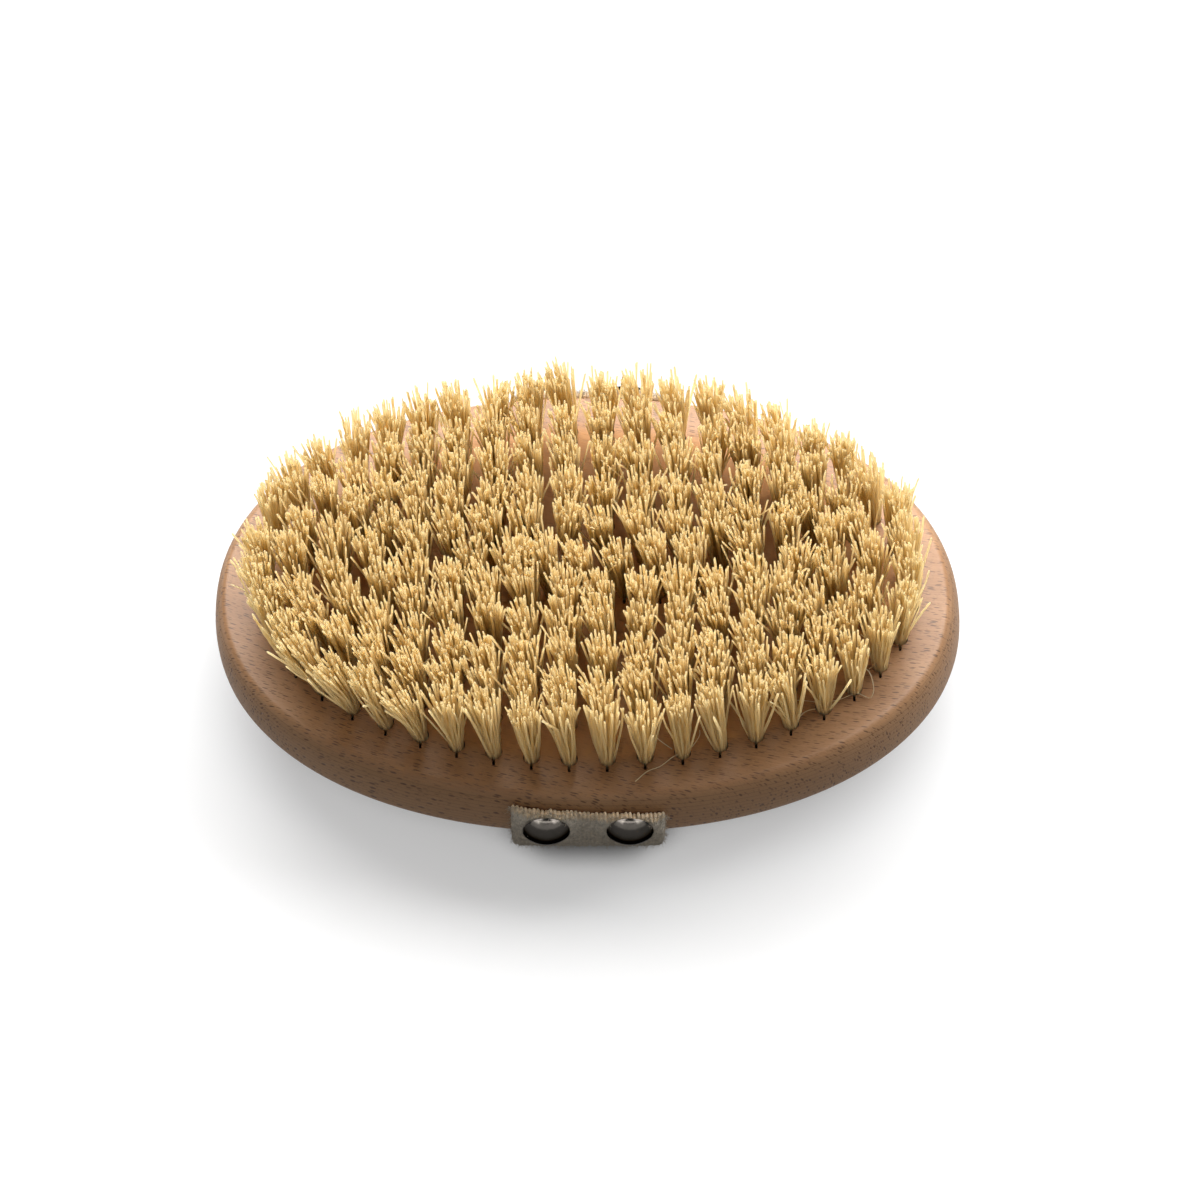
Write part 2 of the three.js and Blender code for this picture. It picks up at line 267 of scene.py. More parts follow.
class BrushLooks(PropertyGroup):
    """All settings of the brush."""
    block: PointerProperty(type=BlockLooks, name="Block", description="Beech block")
    tufts: PointerProperty(type=TuftLooks, name="Tufts", description="Planted fibre")
    strap: PointerProperty(type=StrapLooks, name="Strap", description="Cotton webbing")
    tacks: PointerProperty(type=TackLooks, name="Tacks", description="Steel tacks")
    strays: PointerProperty(type=StrayLooks, name="Loose fibres", description="Loose fine fibres")
    stage: PointerProperty(type=StageLooks, name="Stage", description="Camera, light and floor")


# Shader nodes

def arithmetic(operation, swapped=False):
    """A method of Socket that joins it to another socket or a number with a Math node."""
    def method(self, other):
        first, second = (other, self) if swapped else (self, other)
        return self.finish.maths(operation, first, second)
    return method


class Socket:
    """Output of a node. Arithmetic on it adds Math nodes to its tree."""
    __add__ = arithmetic("ADD")
    __radd__ = arithmetic("ADD", swapped=True)
    __sub__ = arithmetic("SUBTRACT")
    __rsub__ = arithmetic("SUBTRACT", swapped=True)
    __mul__ = arithmetic("MULTIPLY")
    __rmul__ = arithmetic("MULTIPLY", swapped=True)
    __truediv__ = arithmetic("DIVIDE")
    __rtruediv__ = arithmetic("DIVIDE", swapped=True)

    def __init__(self, finish, output):
        self.finish = finish
        self.output = output


class Finish:
    """Node tree of one material or of the world."""

    def __init__(self, owner):
        self.owner = owner
        owner.use_nodes = True
        self.tree = owner.node_tree
        self.tree.nodes.clear()

    def node(self, kind, settings=None, inputs=None, output=0):
        """Adds a node: its type, its settings, the values or links of its sockets, and the output wanted."""
        made = self.tree.nodes.new("ShaderNode" + kind)
        for name, value in (settings or {}).items():
            setattr(made, name, value)
        for name, value in (inputs or {}).items():
            self.feed(made.inputs[name], value)
        return Socket(self, made.outputs[output] if made.outputs else None)

    def feed(self, socket, value):
        """Links a socket to another one, or sets its value."""
        if isinstance(value, Socket):
            self.tree.links.new(value.output, socket)
        elif socket.type == "RGBA" and len(value) == 3:
            socket.default_value = (*value, 1)
        else:
            socket.default_value = value

    def maths(self, operation, first, second=0.0):
        """A Math node of two values; some operations need only the first."""
        return self.node("Math", {"operation": operation}, {0: first, 1: second})

    def between(self, value, low, high):
        """0 below low, 1 above high, and a soft step between; low may be the greater one."""
        settings = {"interpolation_type": "SMOOTHSTEP"}
        return self.node("MapRange", settings, {"Value": value, "From Min": low, "From Max": high})

    def mix(self, factor, first, second, blend="MIX"):
        """Two colours mixed by a factor."""
        settings = {"data_type": "RGBA", "blend_type": blend}
        return self.node("Mix", settings, {0: factor, 6: first, 7: second}, output=2)

    def also(self, socket, output):
        """Another output of the node that a socket belongs to."""
        return Socket(self, socket.output.node.outputs[output])

    def shaded(self, colour, value):
        """A colour made darker or lighter by a value."""
        return self.mix(1.0, colour, self.grey(value), "MULTIPLY")

    def cells(self, vector):
        """Cells of a pattern: how far a point is from the middle of its cell, and the cell's own number."""
        inputs = {"Vector": vector, "Scale": 1.0, "Randomness": 0.9}
        middle = self.node("TexVoronoi", None, inputs, "Distance")
        return middle, self.parts(self.also(middle, "Color"))[0]

    def parts(self, vector):
        """X, Y and Z of a vector."""
        split = self.node("SeparateXYZ", None, {0: vector}).output.node
        return [Socket(self, output) for output in split.outputs]

    def joined(self, x, y, z):
        """A vector of three values."""
        return self.node("CombineXYZ", None, {0: x, 1: y, 2: z})

    def grey(self, value):
        """A value as a colour."""
        return self.joined(value, value, value)

    def counted(self, place, sizes):
        """A vector of three coordinates, each counted in a size of its own."""
        return self.joined(*(part / size for part, size in zip(place, sizes)))

    def place(self):
        """Place on the object, in millimetres."""
        where = self.node("TexCoord", None, None, "Object")
        return self.node("VectorMath", {"operation": "SCALE"}, {0: where, "Scale": 1 / MM})

    def noise(self, vector, scale, detail=2.0):
        """Soft noise of about 0 to 1, with this many waves to a unit of the vector."""
        return self.node("TexNoise", None, {"Vector": vector, "Scale": scale, "Detail": detail})

    def bump(self, height, strength, distance):
        """A surface raised by a height, up to a distance in metres."""
        inputs = {"Height": height, "Strength": strength, "Distance": distance}
        return self.node("Bump", None, inputs)

    def surface(self, shader):
        """Ends the tree with this shader."""
        kind = "OutputWorld" if isinstance(self.owner, bpy.types.World) else "OutputMaterial"
        self.node(kind, None, {"Surface": shader})
        return self.owner


def new_finish(name):
    """A new material with an empty node tree."""
    return Finish(bpy.data.materials.new(name))


# Sizes of the marks in the beech, in millimetres along the grain, across it and upwards
RAY = (2.0, 0.36, 1.2)
SMALL_RAY = (1.0, 0.24, 2.4)
STREAK = (6, 0.2, 0.6)
CLOUD = (40, 9, 12)
# Moves the small rays away from the large ones, in millimetres
RAY_SHIFT = 40
# Year rings: millimetres from one to the next, and how long and wide their bends are along X, Y and Z
RING_PITCH = 0.95
RING_BEND = (60, 22, 30)
# How the grain runs on the top face: its slope against X, and how that changes with each millimetre
GRAIN_SLOPE = 0.24
GRAIN_CURVE = 0.0011
# Millimetres below the top face where the tone of the rim and the painted shade of the holes start and are
# full
RIM_DEPTHS = (0.15, 1.4)
HOLE_DEPTHS = (0.04, 0.35)
# Millimetres below the bottom of the holes where the painted light and shade of the planted wood end and are
# full
HOLE_MARGINS = (1.0, 0.3)
# Painted shade inside the holes: near black in the outer row, warmer among the tufts
HOLE_SHADE_DARK = (0.012, 0.007, 0.004)
HOLE_SHADE_WARM = (0.13, 0.06, 0.022)


def beech_finish(look, tufts):
    """Solid beech. Its rays show as flecks on the top and as upright dashes between the rings of the rim."""
    finish = new_finish("beech")
    place = finish.place()
    x, y, z = finish.parts(place)
    sway = finish.noise(place, 0.035, 1) - 0.5
    across = y + GRAIN_SLOPE * x - GRAIN_CURVE * x * x + 3 * sway
    along = x - GRAIN_SLOPE * y
    grain = (along, across, z)
    ray, chance = finish.cells(finish.counted(grain, RAY))
    size = 0.33 + 0.12 * chance
    fleck = finish.between(ray, size, 0.55 * size) * (0.35 + 0.65 * chance)
    small_ray, small_chance = finish.cells(finish.counted((along + RAY_SHIFT, across, z), SMALL_RAY))
    small_fleck = finish.between(small_ray, 0.34, 0.16) * small_chance
    streak = finish.noise(finish.counted(grain, STREAK), 1, 3)
    bend = finish.noise(finish.counted((x, y, z), RING_BEND), 1, 2) - 0.5
    wave = finish.maths("SINE", (z + 0.05 * y + 0.02 * x + 3.2 * bend) * (2 * math.pi / RING_PITCH))
    late = finish.between(wave, 0.75, 1.0)
    rim = finish.between(z, *(TOP / MM - depth for depth in RIM_DEPTHS))
    cloud = finish.noise(finish.counted(grain, CLOUD), 1, 2)
    tone = finish.between(cloud + 0.7 * (streak - 0.5), 0.30, 0.72)
    plain = finish.mix(tone, look.warm, look.pale)
    sided = finish.mix(0.6 * rim, plain, look.rim)
    ringed = finish.mix((0.04 + 0.27 * rim) * late, sided, look.fleck)
    streaked = finish.mix(0.36 * small_fleck, ringed, look.fleck)
    flecked = finish.mix(0.84 * fleck, streaked, look.fleck)
    field_x = (HALF_LENGTH - tufts.edge_margin / 2) / MM
    field_y = (HALF_WIDTH - tufts.edge_margin / 2) / MM
    out = (x / field_x) * (x / field_x) + (y / field_y) * (y / field_y)
    sunk = finish.between(z, *(TOP / MM - depth for depth in HOLE_DEPTHS))
    bottom = (TOP - look.hole_depth) / MM
    drills = finish.between(z, *(bottom - margin for margin in HOLE_MARGINS))
    # Painted light: among the tufts the wood takes a lighter, warmer colour for the light bounced off the
    # fibre
    among = finish.between(out, 0.86, 0.70)
    painted_glow_wood = finish.mix(0.7 * among * drills, flecked, look.field)
    # Painted shade: the drilled holes and slits are coloured dark inside, near black in the outer row
    painted_hollow_shade = finish.mix(among, HOLE_SHADE_DARK, HOLE_SHADE_WARM)
    drilled = finish.mix(0.95 * finish.between(out, 1.0, 0.98) * sunk * drills, painted_glow_wood, painted_hollow_shade)
    bare = (1.0 - rim) * finish.between(out, 0.72, 0.95)
    height = 0.6 * streak - 0.9 * fleck - 0.25 * small_fleck
    shader = finish.node("BsdfPrincipled", None, {
        "Base Color": drilled, "Roughness": 0.46 + 0.16 * streak, "Specular IOR Level": 0.22,
        "Coat Weight": 0.65 * bare, "Coat Roughness": 0.38, "Coat IOR": 1.55,
        "Normal": finish.bump(height, 0.4, 0.00014)})
    return finish.surface(shader)


def fibre_finish(look):
    """Stiff golden fibre, darker and more saturated near the wood as painted shade, with greyer cut ends
    darkened by painted shade; an attribute holds the place along it, tone and kind.
    """
    finish = new_finish("plant_fibre")
    marks = finish.node("Attribute", {"attribute_name": "fibre"}, None, "Vector")
    along, tone, kind = finish.parts(marks)
    place = finish.place()
    x, y, z = finish.parts(place)
    grain = finish.noise(finish.joined(x * 3, y * 3, z * 0.5), 1, 2)
    # Painted shade: the fibre is darker and more saturated near the wood
    rise = finish.between(along, 0.0, 0.8)
    body = finish.mix(rise, look.deep, look.body)
    # Cut ends: a greyer tone of their own, made darker as painted shade on the lit tops
    end = finish.between(along, 0.86, 1.0) * (0.6 + 0.4 * tone)
    ended = finish.mix(end, body, look.tip)
    value = finish.maths("MINIMUM", 0.90 + 0.16 * tone + 0.05 * (grain - 0.5), 1.0)
    shaded = finish.shaded(ended, value)
    dyed = finish.mix(kind, shaded, look.olive)
    shader = finish.node("BsdfPrincipled", None, {
        "Base Color": dyed, "Roughness": 0.62 + 0.18 * grain, "Specular IOR Level": 0.1,
        "Normal": finish.bump(grain, 0.1, 0.00004)})
    through = finish.node("BsdfTranslucent", None, {"Color": look.through})
    share = (1.0 - kind) * (0.62 + 0.18 * rise)
    return finish.surface(finish.node("MixShader", None, {0: share, 1: shader, 2: through}))


def cotton_finish(look):
    """Soft undyed cotton, with painted shade between the yarns and paler, partly painted light, cut ends and
    nap; an attribute holds how far a point stands out, the cut ends and the nap.
    """
    finish = new_finish("cotton_webbing")
    marks = finish.node("Attribute", {"attribute_name": "webbing"}, None, "Vector")
    proud, cut, nap = finish.parts(marks)
    place = finish.place()
    x, y, z = finish.parts(place)
    fuzz = finish.noise(place, 3.2, 4)
    thread = finish.noise(finish.joined(x * 2.2, y * 9, z * 9), 1, 3)
    soiled = finish.noise(place, 0.22, 2)
    # Painted shade: the yarn colour is darker where the webbing stands less proud
    yarn = finish.mix(finish.between(proud + 0.5 * (fuzz - 0.5), 0.05, 0.75), look.painted_hollow_shade, look.face)
    felt = finish.noise(place, 1.4, 2)
    # Paler at and near the cut ends: the cut yarns and raised nap, with painted light on the upper part of
    # the strap
    ended = finish.mix(cut, finish.mix(nap, yarn, look.nap), look.cut)
    value = 0.57 + 0.56 * fuzz + 0.85 * (felt - 0.5) + 0.20 * (thread - 0.5) + 0.16 * (soiled - 0.5)
    shaded = finish.shaded(ended, value)
    shader = finish.node("BsdfPrincipled", None, {
        "Base Color": shaded, "Roughness": 0.86 + 0.12 * fuzz, "Specular IOR Level": 0.2,
        "Sheen Weight": 0.2, "Sheen Roughness": 0.5,
        "Normal": finish.bump(fuzz + 0.5 * thread + felt, 0.9, 0.0004)})
    return finish.surface(shader)


def steel_finish(look):
    """Dark polished steel, its base made darker still as a painted reflection of dark surroundings, with
    faint dull patches and fine scratches.
    """
    finish = new_finish("dark_steel")
    place = finish.place()
    patch = finish.noise(place, 0.55, 3)
    scratch = finish.noise(place, 9, 5)
    # Painted reflection: the near-black base stands for the dark surroundings that the steel reflects
    base = finish.mix(finish.between(patch, 0.4, 0.7), look.steel, look.smudge)
    shader = finish.node("BsdfPrincipled", None, {
        "Base Color": base, "Metallic": 1.0, "Roughness": 0.11 + 0.08 * patch + 0.05 * scratch,
        "Specular Tint": (0.22, 0.21, 0.2),
        "Normal": finish.bump(scratch, 0.06, 0.00003)})
    return finish.surface(shader)


# Modelling

# Edges sharper than these angles, in degrees, stay sharp
BLOCK_EDGES = 32
FIBRE_EDGES = 80
WEBBING_EDGES = 70
TACK_EDGES = 50


def oval(angles, along_x, along_y, exponent):
    """Points of an oval at these angles; an exponent of 2 is an ellipse."""
    cosine = np.cos(angles)
    sine = np.sin(angles)
    x = along_x * np.sign(cosine) * np.abs(cosine) ** (2 / exponent)
    y = along_y * np.sign(sine) * np.abs(sine) ** (2 / exponent)
    return np.column_stack([x, y])


def unit(vectors):
    """The same directions with a length of 1."""
    return vectors / np.linalg.norm(vectors, axis=-1, keepdims=True)


def lengths_along(points):
    """How far along a line of points each of them lies."""
    return np.r_[0, np.cumsum(np.linalg.norm(np.diff(points, axis=0), axis=1))]


def lofted(name, sides, rings, squareness=2.0):
    """A circle drawn through rings of (half x, half y, middle x, height) and closed at both ends."""
    bpy.ops.object.select_all(action="DESELECT")
    bpy.ops.mesh.primitive_circle_add(vertices=sides, radius=1)
    piece = bpy.context.object
    piece.name = piece.data.name = name
    for vertex in piece.data.vertices:
        turn = math.atan2(vertex.co.y, vertex.co.x)
        vertex.co.xy = oval(np.array([turn]), 1, 1, squareness)[0]
    bpy.ops.object.mode_set(mode="EDIT")
    bpy.ops.mesh.select_all(action="SELECT")
    half_x, half_y, middle, height = rings[0]
    bpy.ops.transform.resize(value=(half_x, half_y, 1), center_override=(0, 0, 0))
    bpy.ops.transform.translate(value=(middle, 0, height))
    for last, ring in zip(rings, rings[1:]):
        step = (ring[2] - last[2], 0, ring[3] - last[3])
        bpy.ops.mesh.extrude_region_move(TRANSFORM_OT_translate={"value": step})
        scale = (ring[0] / last[0], ring[1] / last[1], 1)
        bpy.ops.transform.resize(value=scale, center_override=(ring[2], 0, ring[3]))
    bpy.ops.mesh.select_all(action="SELECT")
    bpy.ops.mesh.fill_holes(sides=sides)
    bpy.ops.mesh.normals_make_consistent(inside=False)
    bpy.ops.object.mode_set(mode="OBJECT")
    return piece


def taken(piece):
    """Vertices and faces of a modelled shape, which is then removed."""
    points = np.array([vertex.co for vertex in piece.data.vertices])
    faces = [list(face.vertices) for face in piece.data.polygons]
    bpy.data.objects.remove(piece)
    return points, faces


def new_piece(name, points, faces):
    """An object with a mesh of these points and faces."""
    mesh = bpy.data.meshes.new(name)
    mesh.from_pydata(points, [], faces)
    mesh.update()
    piece = bpy.data.objects.new(name, mesh)
    bpy.context.scene.collection.objects.link(piece)
    return piece


def copies(name, points, faces):
    """One mesh of many copies of a shape; points has one row of vertices for each copy."""
    size = points.shape[1]
    shifted = [[corner + size * i for corner in face] for i in range(len(points)) for face in faces]
    return new_piece(name, points.reshape(-1, 3), shifted)


def chosen(piece):
    """Makes a piece the active one and the only one selected."""
    bpy.ops.object.select_all(action="DESELECT")
    piece.select_set(True)
    bpy.context.view_layer.objects.active = piece


def smoothed(piece, degrees):
    """Smooth shading, apart from edges sharper than an angle."""
    chosen(piece)
    bpy.ops.object.shade_smooth_by_angle(angle=math.radians(degrees))


def marked(piece, name, values):
    """Gives each vertex three numbers that the piece's material reads."""
    attribute = piece.data.attributes.new(name, "FLOAT_VECTOR", "POINT")
    attribute.data.foreach_set("vector", np.asarray(values, np.float32).ravel())


def finished(piece, material, slot, *nodes):
    """Gives a piece its material and hides the nodes that it stands for; the slot is not used."""
    piece.data.materials.clear()
    piece.data.materials.append(material)
    if nodes:
        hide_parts(*nodes)


def cut_with(piece, cutter):
    """Cuts a shape out of a piece and removes it."""
    chosen(piece)
    bpy.ops.object.modifier_add(type="BOOLEAN")
    modifier = piece.modifiers[-1]
    modifier.operation = "DIFFERENCE"
    modifier.solver = "EXACT"
    modifier.object = cutter
    bpy.ops.object.modifier_apply(modifier=modifier.name)
    bpy.data.objects.remove(cutter)


# Layout of the tufts

class Rows:
    """Concentric rows of tufts and a line of them along the middle, as in the frame."""

    def __init__(self, look):
        self.look = look
        self.half_x = HALF_LENGTH - look.edge_margin
        self.half_y = HALF_WIDTH - look.edge_margin
        self.number = max(len(SINGLE_ROWS), round(self.half_y / look.pitch))
        self.spacing = self.half_y / self.number

    def row(self, level):
        """Evenly spaced places along one row, staggered from row to row."""
        inwards = level * self.spacing
        exponent = 2 + self.look.row_squaring * (level / (self.number - 1)) ** 2
        turns = np.linspace(0, 2 * math.pi, self.look.row_points + 1)
        outline = oval(turns, self.half_x - inwards, self.half_y - inwards, exponent)
        run = lengths_along(outline)
        number = 2 * math.floor(run[-1] / self.look.pitch / 2)
        stagger = 0.5 if level % 2 == 0 else 0
        along = (np.arange(number) + stagger) / number * run[-1]
        return np.column_stack([np.interp(along, run, outline[:, axis]) for axis in (0, 1)])

    def middle(self):
        """The line along the middle and the rows next to it."""
        pairs = math.floor((self.half_x - self.half_y) / self.look.pitch)
        x = np.arange(-pairs, pairs + 1) * self.look.pitch
        line = np.column_stack([x, np.zeros(len(x))])
        inner = [self.row(level) for level in range(len(SINGLE_ROWS), self.number)]
        return np.concatenate([line, *inner])

    def groups(self):
        """Node name and tuft places of each group of rows."""
        found = [(node, self.row(level)) for level, node in enumerate(SINGLE_ROWS)]
        found.append((MIDDLE_ROWS, self.middle()))
        return found

    def all(self):
        """Places of all the tufts."""
        return np.concatenate([places for _, places in self.groups()])


# Block

def block_rings(look):
    """Rings of the block from its flat back up to a strip inside the ridge of the top face."""
    widest = TOP - look.rim_drop
    quarter = np.linspace(0, math.pi / 2, look.edge_steps + 1)
    rings = []
    for turn in quarter[::-1]:
        inset = look.back_inset * (1 - math.cos(turn))
        height = widest - (widest - BACK) * math.sin(turn)
        rings.append((HALF_LENGTH - inset, HALF_WIDTH - inset, 0, height))
    for turn in quarter[1:]:
        inset = look.rim_inset * (1 - math.cos(turn))
        height = widest + look.rim_drop * math.sin(turn)
        shift = -look.ridge_shift * math.sin(turn)
        rings.append((HALF_LENGTH - inset, HALF_WIDTH - inset, shift, height))
    half_x, half_y, shift, height = rings[-1]
    rings.append((half_x - look.ridge_flat, half_y - look.ridge_flat, shift, height))
    return rings


def hole_cutter(look, places):
    """Drills for all the tufts."""
    radius = look.hole_diameter / 2
    low = TOP - look.hole_depth
    high = TOP + look.hole_depth
    rings = [(radius, radius, 0, height) for height in (low, high)]
    points, faces = taken(lofted("drill", look.hole_sides, rings))
    spots = np.column_stack([places, np.zeros(len(places))])
    return copies("drills", spots[:, None] + points, faces)


def slit_cutter(look, places):
    """Narrow cuts through all the holes, across the brush, where the anchors were driven."""
    bpy.ops.object.select_all(action="DESELECT")
    bpy.ops.mesh.primitive_cube_add(size=1)
    points, faces = taken(bpy.context.object)
    reach = look.hole_diameter + 2 * look.slit_length
    points = points * (look.slit_width, reach, 2 * look.slit_depth)
    spots = np.column_stack([places, np.full(len(places), TOP)])
    return copies("slits", spots[:, None] + points, faces)


class BRUSH_OT_block(Operator):
    """Model the drilled beech block"""
    bl_idname = "brush.block"
    bl_label = "Block"

    def execute(self, context):
        looks = context.scene.body_brush
        look = looks.block
        piece = lofted("brush_block", look.outline_points, block_rings(look), look.squareness)
        places = Rows(looks.tufts).all()
        cut_with(piece, hole_cutter(look, places))
        cut_with(piece, slit_cutter(look, places))
        smoothed(piece, BLOCK_EDGES)
        finished(piece, beech_finish(look, looks.tufts), "beech", "block")
        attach(piece, "brush")
        return {"FINISHED"}


# Tufts

# A fibre of unit length: heights of its rings, and radius of its chamfered cut end
FIBRE_RINGS = (0, 0.09, 0.38, 0.70, 0.988)
CUT_RADIUS = 0.72
# From this share of its length a fibre may be bent aside, and its end is slanted
BENT_FROM = 0.72
SLANT_FROM = 0.9
# A bent end turns aside by this share of a stray's reach
BENT_BY = 0.8
# A fibre leans out more towards its tip, and is this much thinner there
LEAN_POWER = 1.12
TAPER = 0.10
# Painted light: an outer fibre is paler at its root, as these roots are lit from outside
OUTER_PAINTED_LIGHT = 0.45
# Where the combing of the near left corner is full, and the strip in which that of the near row ends
CORNER_X = 0.7 * HALF_LENGTH
CORNER_Y = 0.5 * HALF_WIDTH
NEAR_ROW = (-0.8 * HALF_WIDTH, -0.5 * HALF_WIDTH)
# Limits and spreads of the random draws
FLARES = (1.6, 3.0)
GIRTHS = (0.7, 1.3)
GIRTH_SPREAD = 0.12
TONE_SPREAD = 0.22
TUFT_TONE_SPREAD = 0.1
SLANT_SPREAD = 0.35
STRAY_REACH = (0.8 * MM, 3.6 * MM)
SHORT_BY = (0.5 * MM, 4.0 * MM)


def fibre_shape(look):
    """One fibre of unit radius and unit length: a few rings and a chamfered cut end."""
    rings = [(1, 1, 0, height) for height in FIBRE_RINGS]
    rings.append((CUT_RADIUS, CUT_RADIUS, 0, 1))
    return taken(lofted("fibre", look.sides, rings))


class Fibres:
    """Random but repeatable fibres of the tufts at the given places."""

    def __init__(self, look, places, seed, outer):
        self.look = look
        self.outer = outer
        self.draw = np.random.default_rng(seed)
        number = len(places) * look.fibres
        tuft = np.repeat(np.arange(len(places)), look.fibres)
        normal = self.draw.normal
        self.centre = places[tuft]
        self.root = self.packed(len(places))
        comb = normal(0, look.comb_scatter, (len(places), 2))
        comb += self.combing(places)
        spread = look.flare_outer if outer else look.flare
        flare = normal(spread, look.flare_scatter, len(places)).clip(*FLARES)
        self.tip = self.root * flare[tuft, None] + comb[tuft] + normal(0, look.tip_scatter, (number, 2))
        self.height = look.free_length + normal(0, look.unevenness, number)
        self.height += normal(0, look.tuft_unevenness, len(places))[tuft]
        self.bow = normal(0, look.bow, (number, 2))
        self.wave = normal(0, look.wave, (number, 2))
        self.hook = np.zeros((number, 2))
        self.wander(number)
        self.radius = look.thickness / 2 * normal(1, GIRTH_SPREAD, number).clip(*GIRTHS)
        tone = normal(0.5, TONE_SPREAD, number)
        self.tone = np.clip(tone + normal(0, TUFT_TONE_SPREAD, len(places))[tuft], 0, 1)
        self.olive = (self.draw.random(number) < look.olive_share).astype(float)
        self.turn = self.draw.uniform(0, 2 * math.pi, number)
        self.slant = normal(0, SLANT_SPREAD, (number, 2))
        self.height = np.minimum(self.height, FIBRE_HIGH.z - TOP + look.overreach)

    def combing(self, places):
        """How far the tips of each tuft are combed aside."""
        x, y = places.T
        corner = np.clip(-x / CORNER_X, 0, 1) * np.clip(-y / CORNER_Y, 0, 1)
        ends = self.look.draw_in * x / HALF_LENGTH
        aside = -self.look.lean - self.look.lean_corner * corner - ends
        near = np.interp(y, NEAR_ROW, (1, 0))
        back = near * self.look.lean_near - (1 - near) * self.look.lean_far
        return np.column_stack([aside, back])

    def packed(self, tufts):
        """Roots packed in a disc, each tuft turned its own way."""
        order = np.arange(self.look.fibres) + 0.5
        reach = (self.look.root - self.look.thickness) / 2 * np.sqrt(order / self.look.fibres)
        golden = math.pi * (3 - math.sqrt(5))
        turns = order * golden + self.draw.uniform(0, 2 * math.pi, tufts)[:, None]
        roots = np.stack([reach * np.cos(turns), reach * np.sin(turns)], 2).reshape(-1, 2)
        return roots + self.draw.normal(0, self.look.root_scatter, roots.shape)

    def wander(self, number):
        """A few fibres stray out of their tuft, are short, or have bent ends."""
        stray = self.draw.random(number) < self.look.stray_share
        way = self.draw.uniform(0, 2 * math.pi, number)
        far = self.draw.uniform(*STRAY_REACH, number)
        away = np.column_stack([np.cos(way), np.sin(way)]) * far[:, None]
        self.tip[stray] += away[stray]
        short = self.draw.random(number) < self.look.short_share
        self.height[short] -= self.draw.uniform(*SHORT_BY, number)[short]
        bent = self.draw.random(number) < self.look.bent_share
        self.hook[bent] = BENT_BY * away[::-1][bent]

    def points(self, shape):
        """Vertices of all the fibres, one row each, and their marks."""
        depth = self.look.root_depth
        rise = shape[None, :, 2] * (self.height[:, None] + depth) - depth
        share = np.clip(rise / self.height[:, None], 0, 1)
        path = self.centre[:, None] + self.root[:, None]
        path = path + (self.tip - self.root)[:, None] * (share ** LEAN_POWER)[..., None]
        path = path + self.bow[:, None] * (4 * share * (1 - share))[..., None]
        path = path + self.wave[:, None] * np.sin(2 * math.pi * share)[..., None]
        bent = np.clip((share - BENT_FROM) / (1 - BENT_FROM), 0, 1) ** 2
        path = path + self.hook[:, None] * bent[..., None]
        turned = np.stack([
            shape[None, :, 0] * np.cos(self.turn)[:, None] - shape[None, :, 1] * np.sin(self.turn)[:, None],
            shape[None, :, 0] * np.sin(self.turn)[:, None] + shape[None, :, 1] * np.cos(self.turn)[:, None],
        ], 2)
        thick = self.radius[:, None] * (1 - TAPER * share)
        spread = turned * thick[..., None]
        slanted = np.where(shape[None, :, 2] > SLANT_FROM, (spread * self.slant[:, None]).sum(2), 0)
        place = np.concatenate([path + spread, (TOP + rise + slanted)[..., None]], 2)
        flat = np.ones_like(share)
        # The outer row starts nearer the body colour: painted light on its roots
        pale = OUTER_PAINTED_LIGHT + (1 - OUTER_PAINTED_LIGHT) * share if self.outer else share
        marks = np.stack([pale, self.tone[:, None] * flat, self.olive[:, None] * flat], 2)
        return place, marks


class BRUSH_OT_tufts(Operator):
    """Plant the tufts, row by row"""
    bl_idname = "brush.tufts"
    bl_label = "Tufts"

    def execute(self, context):
        look = context.scene.body_brush.tufts
        material = fibre_finish(look)
        shape, faces = fibre_shape(look)
        for order, (node, places) in enumerate(Rows(look).groups()):
            fibres = Fibres(look, places, look.seed + order, order == 0)
            points, marks = fibres.points(shape)
            piece = copies(node.replace("bristles", "fibre"), points, faces)
            marked(piece, "fibre", marks)
            smoothed(piece, FIBRE_EDGES)
            finished(piece, material, "plant_fibre", node)
            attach(piece, "brush")
        return {"FINISHED"}


# Strap

# Points along each bend of the webbing's path, and the distance below which two of them are one
ARC_POINTS = 40
SAME_POINT = 1e-7
# Stretch at each end of the webbing that shows, and rows of vertices on it and on the rest
SHOWN_END = 24 * MM
SHOWN_ROWS = 62
HIDDEN_ROWS = 60
# Vertices across one yarn
YARN_STEPS = 4
# Over this length the uneven cut of the yarns evens out
FRAY = 7 * MM
# Share of the thickness that the rounded edges and ends keep
EDGE_SHARE = 0.2
END_SHARE = 0.38
# Heights at which the webbing starts to follow the oval of the block, and follows it in full
HUG_FROM = 6 * MM
HUG_FULL = 14 * MM


